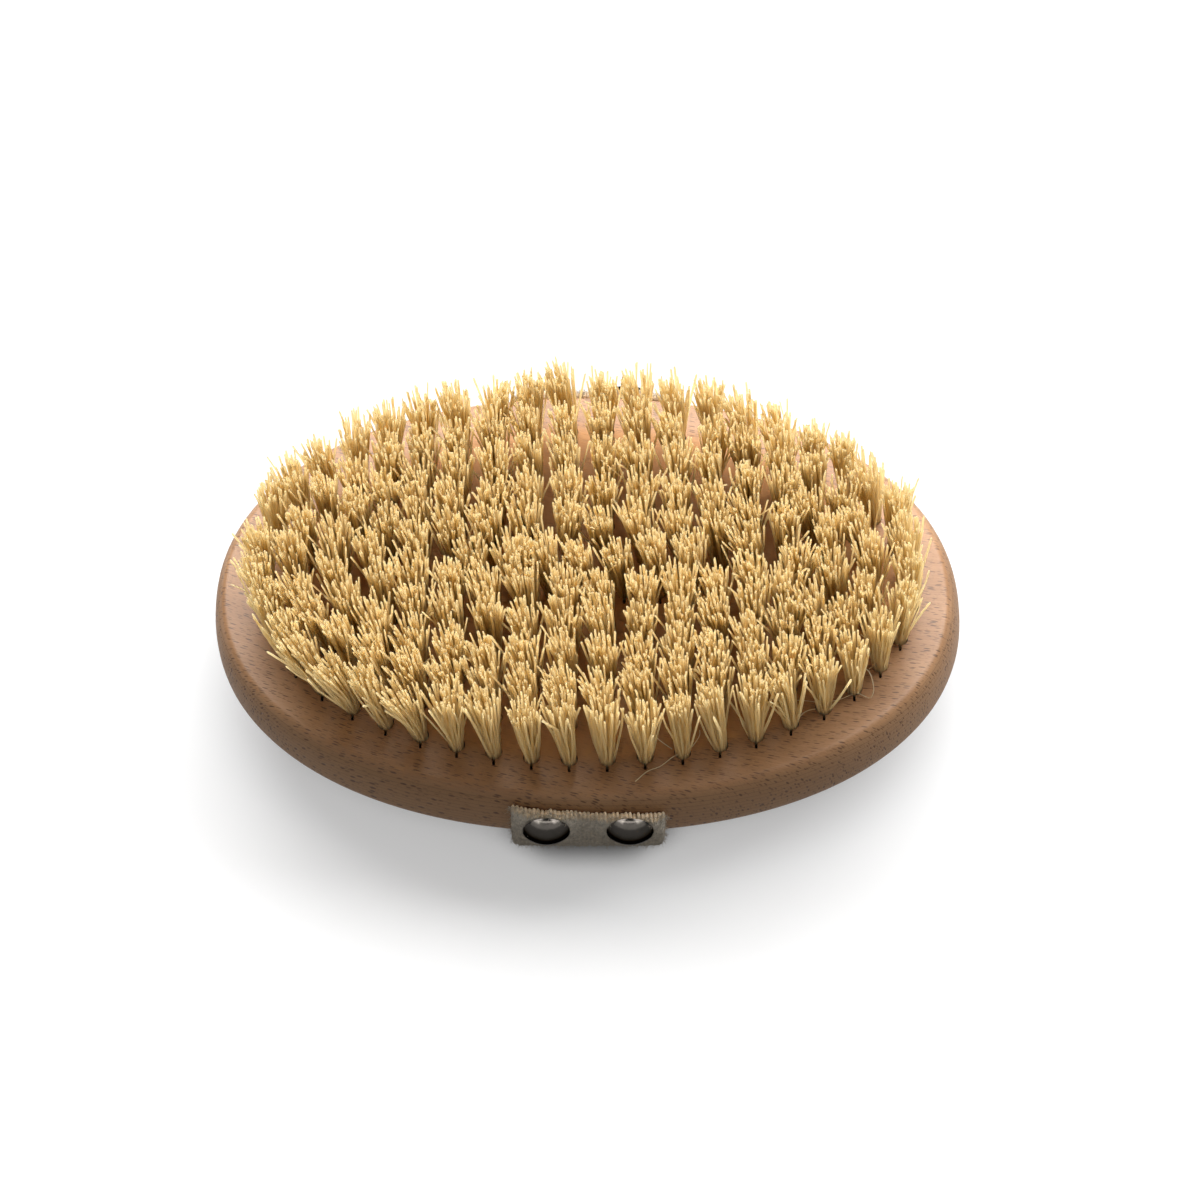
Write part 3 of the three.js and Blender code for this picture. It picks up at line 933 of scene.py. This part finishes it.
class StrapPath:
    """Middle of the webbing in the Y-Z plane: down the rim, under the block and up the other rim."""

    def __init__(self, look, block):
        self.look = look
        self.block = block
        self.widest = TOP - block.rim_drop
        self.rim_y = HALF_WIDTH - block.rim_inset
        half = self.half_path(look.clearance + look.thickness / 2)
        points = np.concatenate([half * (-1, 1), half[::-1]])
        run = lengths_along(points)
        keep = np.r_[True, np.diff(run) > SAME_POINT]
        self.points = points[keep]
        self.run = run[keep]
        self.length = float(self.run[-1])

    def half_path(self, offset):
        """From the cut end at +Y down and under to the middle."""
        up = self.block.rim_drop + offset
        out = self.block.rim_inset + offset
        end = math.asin((STRAP_HIGH.z - self.widest) / up)
        rim = np.linspace(end, 0, ARC_POINTS)
        first = np.column_stack([self.rim_y + out * np.cos(rim), self.widest + up * np.sin(rim)])
        bend = self.widest - STRAP_LOW.z
        radius = bend - self.look.thickness / 2
        turn = np.linspace(0, math.pi / 2, ARC_POINTS)
        middle = STRAP_HIGH.y - bend
        second = np.column_stack([middle + radius * np.cos(turn), self.widest - radius * np.sin(turn)])
        return np.concatenate([first, second, [(0, second[-1][1])]])

    def at(self, run):
        """Place, and direction out of the block, at these lengths along the webbing."""
        step = 0.3 * MM
        place = self.lookup(run)
        ahead = unit(self.lookup(run + step) - self.lookup(run - step))
        return place, np.stack([ahead[..., 1], -ahead[..., 0]], -1)

    def lookup(self, run):
        """Point at a length along the path, running straight on past both ends."""
        run = np.asarray(run)
        inner = np.stack([np.interp(run, self.run, self.points[:, axis]) for axis in (0, 1)], -1)
        first = (self.points[0] - self.points[1]) / (self.run[1] - self.run[0])
        last = (self.points[-1] - self.points[-2]) / (self.run[-1] - self.run[-2])
        before = np.maximum(0, -run)[..., None] * first
        after = np.maximum(0, run - self.length)[..., None] * last
        return inner + before + after


def strap_stations(path):
    """Lengths along the webbing of its rows of vertices: close at the ends that show, wide between."""
    near = np.linspace(0, SHOWN_END, SHOWN_ROWS)
    under = np.linspace(SHOWN_END, path.length - SHOWN_END, HIDDEN_ROWS)[1:-1]
    return np.r_[near, under, path.length - near[::-1]]


def tack_seat(looks, side):
    """Middle of a tack's rim in the Y-Z plane, and the direction out of the block."""
    block = looks.block
    seat = 2 * looks.strap.clearance + looks.strap.thickness
    out = block.rim_inset + seat
    up = block.rim_drop + seat
    turn = math.asin((TACK_LEVEL - (TOP - block.rim_drop)) / up)
    place = np.array([side * (HALF_WIDTH - block.rim_inset + out * math.cos(turn)), TACK_LEVEL])
    facing = np.array([side * math.cos(turn) / out, math.sin(turn) / up])
    return place, unit(facing)


def tack_side(name):
    """1 for a tack on the far side, -1 for one on the near side."""
    return 1 if "far" in name else -1


def tack_middle(name):
    """X of a tack's axis."""
    low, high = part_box(name)
    return (low.x + high.x) / 2


def strap_faces(columns, rows):
    """Quads of a closed band: rows of a loop of columns, with both ends closed across the loop."""
    loop = 2 * columns
    faces = []
    for row in range(rows - 1):
        for i in range(loop):
            j = (i + 1) % loop
            faces.append([row * loop + i, row * loop + j, (row + 1) * loop + j, (row + 1) * loop + i])
    for row, flip in ((0, True), (rows - 1, False)):
        for i in range(columns - 1):
            corners = [row * loop + k for k in (i, i + 1, loop - 2 - i, loop - 1 - i)]
            faces.append(corners[::-1] if flip else corners)
    return [face[::-1] for face in faces]


def rounded(share, least):
    """Height of a rounded edge, from its least share at the very edge to 1 inside."""
    return np.sqrt(1 - (1 - np.clip(share, 0, 1)) ** 2) * (1 - least) + least


def webbing(looks, path):
    """Vertices of the webbing, by row and round the band, and marks: how proud, cut and napped each is, for
    the painted shade between the yarns and the paler, partly painted light, ends.
    """
    look = looks.strap
    draw = np.random.default_rng(look.seed)
    width = STRAP_HIGH.x - STRAP_LOW.x
    columns = look.ribs * YARN_STEPS + 1
    across = np.linspace(-width / 2, width / 2, columns)
    stations = strap_stations(path)
    rib = (across / width + 0.5) * look.ribs
    crown = np.abs(np.sin(math.pi * rib)) ** 0.7
    ends = draw.uniform(-1, 1, (2, look.ribs + 1))[:, np.minimum(rib.astype(int), look.ribs)]
    reach = look.yarn_end * (0.45 * ends + 0.8 * crown - 0.4) - look.trim
    reach[0] -= look.skew * across / width
    fade = np.clip(1 - stations / FRAY, 0, 1)
    run = stations[:, None] - fade[:, None] * reach[0] + fade[::-1, None] * reach[1]
    place, facing = path.at(run)
    pick = np.cos(2 * math.pi * run / look.stitch + math.pi * (rib.astype(int) % 2))
    proud = crown * (0.72 + 0.28 * pick)
    round_edge = rounded((width / 2 - np.abs(across)) / look.edge_round, EDGE_SHARE)
    close = np.minimum(stations, path.length - stations)
    round_end = rounded(close / look.end_round, END_SHARE)[:, None]
    lift = (look.thickness / 2 - look.rib_height) * round_edge * round_end + look.rib_height * (proud - 0.2)
    rough = draw.normal(0, look.roughness, run.shape)
    rough = (rough + np.roll(rough, 1, 0) + np.roll(rough, 1, 1) + np.roll(rough, (1, 1), (0, 1))) / 2.5
    squareness = looks.block.squareness
    level = (1 - np.abs(across / HALF_LENGTH) ** squareness) ** (1 / squareness)
    curve = HALF_WIDTH * (1 - level)
    hug = np.clip((place[..., 1] - HUG_FROM) / (HUG_FULL - HUG_FROM), 0, 1) * curve
    bent = np.exp(-((close - look.curl_place) / look.curl_reach) ** 2)[:, None]
    drawn = across * (1 - 2 * look.curl / width * bent)
    base = np.stack([drawn, place[..., 0], place[..., 1]], -1)
    base[..., 1] -= np.sign(base[..., 1]) * hug
    out = np.stack([np.zeros_like(run), facing[..., 0], facing[..., 1]], -1)
    outer = base + out * (lift + rough * round_edge * round_end)[..., None]
    inner = base - out * np.minimum(lift, look.thickness / 2)[..., None]
    for name in TACK_NAMES:
        outer = puffed(looks, name, outer, out)
    outer[..., 2] = np.maximum(outer[..., 2], STRAP_LOW.z)
    points = np.concatenate([outer, inner[:, ::-1]], 1)
    around = np.ones(2 * columns)
    # Masks of the paler colours at and near the cut ends, which are partly painted light
    cut = np.clip(1.4 - close / look.cut_reach, 0, 1)[:, None] * around
    nap = np.clip(0.7 - close / look.nap_reach, 0, 1)[:, None] * around
    stands = np.concatenate([proud, proud[:, ::-1]], 1)
    return points, np.stack([stands, cut, nap], -1)


# Webbing round a tack: how near the head it is moved, where it lies under and beside the head's rim,
# the most that it goes down and up, and how much of that it does
PUFF_DEPTH = 3 * MM
PUFF_UNDER = -0.12 * MM
PUFF_BESIDE = 0.10 * MM
PUFF_LIMITS = (-0.4 * MM, 0.75 * MM)
PUFF_SHARE = 0.85


def puffed(looks, name, outer, out):
    """Brings the webbing up to the rim of a tack, as soft cloth swells round a nail."""
    place, facing = tack_seat(looks, tack_side(name))
    middle = np.array([tack_middle(name), *place])
    normal = np.array([0, *facing])
    apart = outer - middle
    below = apart @ normal
    beside = np.linalg.norm(apart - below[..., None] * normal, axis=-1)
    radius = looks.tacks.head_diameter / 2
    swell = looks.strap.swell
    weight = np.clip((radius + swell - beside) / swell, 0, 1)
    weight = weight * weight * (3 - 2 * weight) * (np.abs(below) < PUFF_DEPTH)
    aim = np.where(beside < radius, PUFF_UNDER, PUFF_BESIDE)
    lift = np.clip(aim - below, *PUFF_LIMITS) * weight * PUFF_SHARE
    return outer + out * lift[..., None]


# Hairs of the nap: how they crowd at the cut ends (1 is evenly), share along the edges, least height
# above the floor, spread of their directions, pull of those on an edge to its side, lengths, bend, radius
HAIR_CROWDING = 0.35
EDGE_HAIRS = 0.08
LOWEST_HAIR = 3 * MM
HAIR_SPREAD = 0.75
HAIR_ASIDE = 1.2
HAIR_LENGTHS = (0.2 * MM, 0.8 * MM)
HAIR_BEND = 0.22 * MM
HAIR_RADII = (0.018 * MM, 0.032 * MM)
# Hairs have the tone of the yarns' tops, and are neither cut ends nor nap
HAIR_MARKS = (0.8, 0, 0)


def nap_hairs(looks, points):
    """Short loose hairs standing on the webbing, most of them near its cut ends."""
    look = looks.strap
    draw = np.random.default_rng(look.seed + 1)
    shape, faces = taken(lofted("hair", 3, [(1, 1, 0, 0), (0.9, 0.9, 0, 0.5), (0.5, 0.5, 0, 1)]))
    rows, loop = points.shape[:2]
    row = (rows * draw.beta(HAIR_CROWDING, HAIR_CROWDING, look.hairs)).astype(int).clip(0, rows - 1)
    column = draw.integers(0, loop // 2, look.hairs)
    edge = draw.random(look.hairs) < EDGE_HAIRS
    column[edge] = draw.choice([0, loop // 2 - 1], edge.sum())
    above = points[row, column, 2] > LOWEST_HAIR
    row, column, edge = row[above], column[above], edge[above]
    number = len(row)
    start = points[row, column]
    outward = unit(start - points[row, loop - 1 - column])
    aim = outward + draw.normal(0, HAIR_SPREAD, start.shape)
    aim += np.where(edge, np.sign(start[:, 0]) * HAIR_ASIDE, 0)[:, None] * (1, 0, 0)
    aim = unit(aim)
    reach = draw.uniform(*HAIR_LENGTHS, number)
    curl = draw.normal(0, HAIR_BEND, start.shape)
    thick = draw.uniform(*HAIR_RADII, number)
    along = shape[None, :, 2, None]
    side = unit(np.cross(aim, draw.normal(0, 1, start.shape)))
    other = np.cross(aim, side)
    ring = shape[None, :, 0, None] * side[:, None] + shape[None, :, 1, None] * other[:, None]
    spine = start[:, None] + aim[:, None] * reach[:, None, None] * along + curl[:, None] * along ** 2
    return copies("strap_nap", spine + ring * thick[:, None, None], faces)


class BRUSH_OT_strap(Operator):
    """Weave the strap across the back of the block"""
    bl_idname = "brush.strap"
    bl_label = "Strap"

    def execute(self, context):
        looks = context.scene.body_brush
        look = looks.strap
        path = StrapPath(look, looks.block)
        points, marks = webbing(looks, path)
        rows, loop = points.shape[:2]
        material = cotton_finish(look)
        piece = new_piece("strap_webbing", points.reshape(-1, 3), strap_faces(loop // 2, rows))
        marked(piece, "webbing", marks.reshape(-1, 3))
        smoothed(piece, WEBBING_EDGES)
        finished(piece, material, "cotton_webbing", "strap")
        nap = nap_hairs(looks, points)
        marked(nap, "webbing", np.tile(HAIR_MARKS, (len(nap.data.vertices), 1)))
        finished(nap, material, "cotton_webbing")
        for cloth in (piece, nap):
            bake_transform(cloth)
        return {"FINISHED"}


# Tacks

def tack_rings(look):
    """Rings of a tack about its own axis: from the point up the shank, under the dome and over it."""
    radius = look.head_diameter / 2
    dome = (radius ** 2 + look.head_height ** 2) / (2 * look.head_height)
    middle = look.head_height - dome
    inside = dome - look.wall
    shank = look.shank_diameter / 2
    rings = [(look.tip_radius, -look.shank_length), (shank, look.point_length - look.shank_length)]
    inner_rim = math.asin(-middle / inside)
    under = np.linspace(math.acos(shank / inside), inner_rim, look.steps)
    rings += [(inside * math.cos(turn), middle + inside * math.sin(turn)) for turn in under]
    rim = math.asin(-middle / dome)
    over = np.linspace(rim, math.pi / 2, look.steps + 4)
    rings.append((radius - look.lip, -look.lip / 2))
    rings.append((radius - look.lip / 6, 0.0))
    rings += [(dome * math.cos(turn), middle + dome * math.sin(turn)) for turn in over[1:-1]]
    rings.append((look.lip, look.head_height))
    return [(reach, reach, 0, height) for reach, height in rings]


class BRUSH_OT_tacks(Operator):
    """Make the four tacks and drive them through the strap"""
    bl_idname = "brush.tacks"
    bl_label = "Tacks"

    def execute(self, context):
        looks = context.scene.body_brush
        material = steel_finish(looks.tacks)
        pattern = lofted("tack", looks.tacks.sides, tack_rings(looks.tacks))
        smoothed(pattern, TACK_EDGES)
        for name in TACK_NAMES:
            place, facing = tack_seat(looks, tack_side(name))
            axis = Vector((0, *facing))
            stand = Vector((0, 0, 1)).rotation_difference(axis).to_matrix().to_4x4()
            spot = Matrix.Translation((tack_middle(name), *place))
            piece = bpy.data.objects.new(name.replace("tack", "dome_tack"), pattern.data.copy())
            context.scene.collection.objects.link(piece)
            piece.data.name = piece.name
            piece.data.transform(spot @ stand)
            finished(piece, material, "dark_steel", name)
            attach(piece, "brush")
        bpy.data.objects.remove(pattern)
        return {"FINISHED"}


# Loose fibres

# Loose fibres, given one by one: points in millimetres, X and Y on the brush and the height above the wood
LOOSE_FIBRES = (
    ((49.1, -19, 7), (51.1, -19.7, 5.5), (51.9, -20.9, 4), (52.2, -22, 2), (51.7, -22.8, 0.8),
     (50.5, -22.2, 0.4), (49, -21.6, 0.3), (46, -22.9, 0.3), (42.6, -23.5, 0.4), (39, -23.4, 1),
     (36.9, -24, 2)),
    ((49.4, -16.2, 13), (51.2, -16.8, 11), (53.5, -17.1, 8), (53.2, -16.9, 4), (51.6, -17.2, 1.5)),
    ((8.5, -39.5, 0.1), (10.7, -37.5, 0.2), (13.1, -36.5, 0.3), (15.6, -34.6, 0.6), (18.2, -34.1, 2),
     (20, -32.9, 5), (20.1, -32.5, 7)),
    ((-44.3, -26.4, 7.5), (-45.2, -25.9, 9), (-44.8, -25.7, 9.6), (-43.5, -25.6, 9.2)),
    ((15.2, -33.6, 1.5), (12.6, -33.8, 6), (11.2, -33.6, 10), (10.5, -33.8, 13)),
    ((38.5, -27, 1.2), (39.3, -26.5, 2), (40.1, -26.3, 2.6), (41.4, -26.3, 3.2)),
)
# How much thinner a loose fibre is at its end, and a direction that none of them runs in
LOOSE_TAPER = 0.35
LOOSE_UP = (0.31, 0.17, 0.93)
# Loose fibres have the tone of a cut end, with its painted shade, all along, and none is dark
LOOSE_MARKS = (1, 1, 0)


def loose_fibre(look, points, shape):
    """A fine tube along a smooth curve through the points."""
    points = np.array(points) * MM + (0, 0, TOP)
    ends = np.concatenate([[2 * points[0] - points[1]], points, [2 * points[-1] - points[-2]]])
    where = shape[:, 2] * (len(points) - 1)
    index = np.minimum(where.astype(int), len(points) - 2)
    share = (where - index)[:, None]
    a, b, c, d = (ends[index + k] for k in range(4))
    spine = b + share / 2 * (c - a + share * (2 * a - 5 * b + 4 * c - d + share * (3 * (b - c) + d - a)))
    ahead = unit((c - a) * (1 - share) + (d - b) * share)
    side = unit(np.cross(ahead, LOOSE_UP))
    other = np.cross(side, ahead)
    radius = look.thickness / 2 * (1 - LOOSE_TAPER * shape[:, 2:3])
    return spine + radius * (shape[:, 0:1] * other + shape[:, 1:2] * side)


class BRUSH_OT_strays(Operator):
    """Lay the loose fine fibres"""
    bl_idname = "brush.strays"
    bl_label = "Loose fibres"

    def execute(self, context):
        look = context.scene.body_brush.strays
        rings = [(1, 1, 0, height) for height in np.linspace(0, 1, look.steps + 1)]
        shape, faces = taken(lofted("loose_fibre", look.sides, rings))
        points = np.stack([loose_fibre(look, route, shape) for route in LOOSE_FIBRES])
        piece = copies("loose_fibres", points, faces)
        marked(piece, "fibre", np.tile(LOOSE_MARKS, (len(piece.data.vertices), 1)))
        smoothed(piece, FIBRE_EDGES)
        finished(piece, bpy.data.materials["plant_fibre"], "plant_fibre")
        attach(piece, "brush")
        return {"FINISHED"}


# Stage

# The floor: its colour to the camera and to bounced light, its glow, and how open to the sky a point is
# where the painted contact shadow in the glow is deepest and where it ends
FLOOR_WHITE = (0.53, 0.53, 0.53)
FLOOR_BOUNCE = (0.15, 0.15, 0.15)
FLOOR_GLOW = 0.42
CONTACT_RANGE = (0.22, 0.68)


def floor_finish(look):
    """White to the camera and in reflections, with the brush's shadow from the lamps and a painted contact
    shadow in its glow; grey to bounced light.
    """
    finish = new_finish("floor")
    shadow = finish.node("AmbientOcclusion", {"samples": 16}, {"Distance": look.contact}, "AO")
    contact = finish.between(shadow, *CONTACT_RANGE)
    lit = finish.node("BsdfDiffuse", None, {"Color": FLOOR_WHITE})
    # Painted contact shadow: the floor's glow is dimmed where little sky reaches it
    glow = finish.node("Emission", None, {"Color": finish.grey(contact), "Strength": FLOOR_GLOW})
    shown = finish.node("AddShader", None, {0: lit, 1: glow})
    bounce = finish.node("BsdfDiffuse", None, {"Color": FLOOR_BOUNCE})
    seen = seen_directly(finish)
    return finish.surface(finish.node("MixShader", None, {0: seen, 1: bounce, 2: shown}))


def seen_directly(finish):
    """1 for what the camera sees, also in metal and glass."""
    kinds = ("Camera", "Glossy", "Transmission")
    rays = [finish.node("LightPath", None, None, f"Is {kind} Ray") for kind in kinds]
    return finish.maths("MAXIMUM", finish.maths("MAXIMUM", rays[0], rays[1]), rays[2])


def world_finish(look):
    """An even weak light from all round."""
    finish = Finish(bpy.data.worlds.new("studio"))
    return finish.surface(finish.node("Background", None, {"Color": (1, 1, 1), "Strength": look.ambient}))


def aimed(thing, place, aim):
    """Puts a camera or light in its place and turns it to what it looks at."""
    thing.location = place
    thing.rotation_euler = (Vector(aim) - Vector(place)).to_track_quat("-Z", "Y").to_euler()


def new_softbox(name, place, aim, size, power):
    """A rectangular light: its place and aim, its two sides in metres, and its power in watts."""
    light = bpy.data.lights.new(name, "AREA")
    light.energy = power
    light.shape = "RECTANGLE"
    light.size, light.size_y = size
    lamp = bpy.data.objects.new(name, light)
    bpy.context.scene.collection.objects.link(lamp)
    aimed(lamp, place, aim)
    return lamp


# Place and size of the low softbox behind and of the smaller one at the right
BACK_PLACE = (0.12, 1.25, 0.6)
BACK_SIZE = (1.8, 0.4)
SIDE_PLACE = (1.3, 0.25, 0.75)
SIDE_SIZE = (0.8, 0.6)
# Panels that only the tacks see: name, place, size in metres and share of the full strength
PANELS = (
    ("left_panel", (-0.68, -0.75, 0.68), (0.80, 0.65), 1.0),
    ("right_panel", (0.68, -0.75, 0.68), (0.80, 0.65), 1.0),
    ("bar_panel", (0, -0.88, 0.48), (1.0, 0.08), 1.2),
    ("low_panel", (0, -1.0, 0.20), (2.4, 0.38), 0.23),
)


class BRUSH_OT_stage(Operator):
    """Set the floor, light and camera"""
    bl_idname = "brush.stage"
    bl_label = "Stage"

    def execute(self, context):
        scene = context.scene
        look = scene.body_brush.stage
        bpy.ops.object.select_all(action="DESELECT")
        bpy.ops.mesh.primitive_plane_add(size=look.floor_size)
        floor = context.object
        floor.name = "floor"
        floor.data.materials.append(floor_finish(look))
        scene.world = world_finish(look)
        scene.view_settings.view_transform = "Standard"
        level = math.cos(look.key_elevation)
        towards = Vector((level * math.sin(look.key_azimuth), level * math.cos(look.key_azimuth),
                          math.sin(look.key_elevation)))
        middle = Vector((0, 0, TOP))
        key_size = (look.key_width, look.key_height)
        new_softbox("softbox", look.key_distance * towards, middle, key_size, look.key_strength)
        new_softbox("back_box", BACK_PLACE, middle, BACK_SIZE, look.back_strength)
        new_softbox("side_box", SIDE_PLACE, middle, SIDE_SIZE, look.side_strength)
        polished = bpy.data.collections.new("polished")
        for name in TACK_NAMES:
            polished.objects.link(bpy.data.objects[name.replace("tack", "dome_tack")])
        for name, place, size, share in PANELS:
            power = share * look.panel_strength * size[0] * size[1]
            panel = new_softbox(name, place, (0, -HALF_WIDTH, TACK_LEVEL), size, power)
            panel.visible_camera = False
            panel.light_linking.receiver_collection = polished
        camera = bpy.data.objects.new("camera", bpy.data.cameras.new("camera"))
        scene.collection.objects.link(camera)
        back = Vector((0, -math.cos(look.elevation), math.sin(look.elevation)))
        aimed(camera, middle + look.distance * back, middle)
        camera.data.lens = look.lens
        camera.data.shift_x = look.shift_x
        camera.data.shift_y = look.shift_y
        scene.camera = camera
        return {"FINISHED"}


class BRUSH_PT_looks(Panel):
    """Settings and steps of the brush's looks"""
    bl_label = "Body brush"
    bl_idname = "BRUSH_PT_looks"
    bl_space_type = "VIEW_3D"
    bl_region_type = "UI"
    bl_category = "Body brush"

    def draw(self, context):
        looks = context.scene.body_brush
        for key, operator in STEPS.items():
            box = self.layout.box()
            box.operator(operator.bl_idname)
            group = getattr(looks, key)
            for name in group.__annotations__:
                box.prop(group, name)


STEPS = {
    "block": BRUSH_OT_block,
    "tufts": BRUSH_OT_tufts,
    "strap": BRUSH_OT_strap,
    "tacks": BRUSH_OT_tacks,
    "strays": BRUSH_OT_strays,
    "stage": BRUSH_OT_stage,
}
GROUPS = (BlockLooks, TuftLooks, StrapLooks, TackLooks, StrayLooks, StageLooks, BrushLooks)
CLASSES = (*GROUPS, *STEPS.values(), BRUSH_PT_looks)


def register():
    for each in CLASSES:
        bpy.utils.register_class(each)
    Scene.body_brush = PointerProperty(type=BrushLooks, name="Body brush", description="Looks of the brush")


def unregister():
    del Scene.body_brush
    for each in reversed(CLASSES):
        bpy.utils.unregister_class(each)


def main():
    register()
    bpy.ops.brush.block()
    bpy.ops.brush.tufts()
    bpy.ops.brush.strap()
    bpy.ops.brush.tacks()
    bpy.ops.brush.strays()
    bpy.ops.brush.stage()


if __name__ == "__main__":
    main()
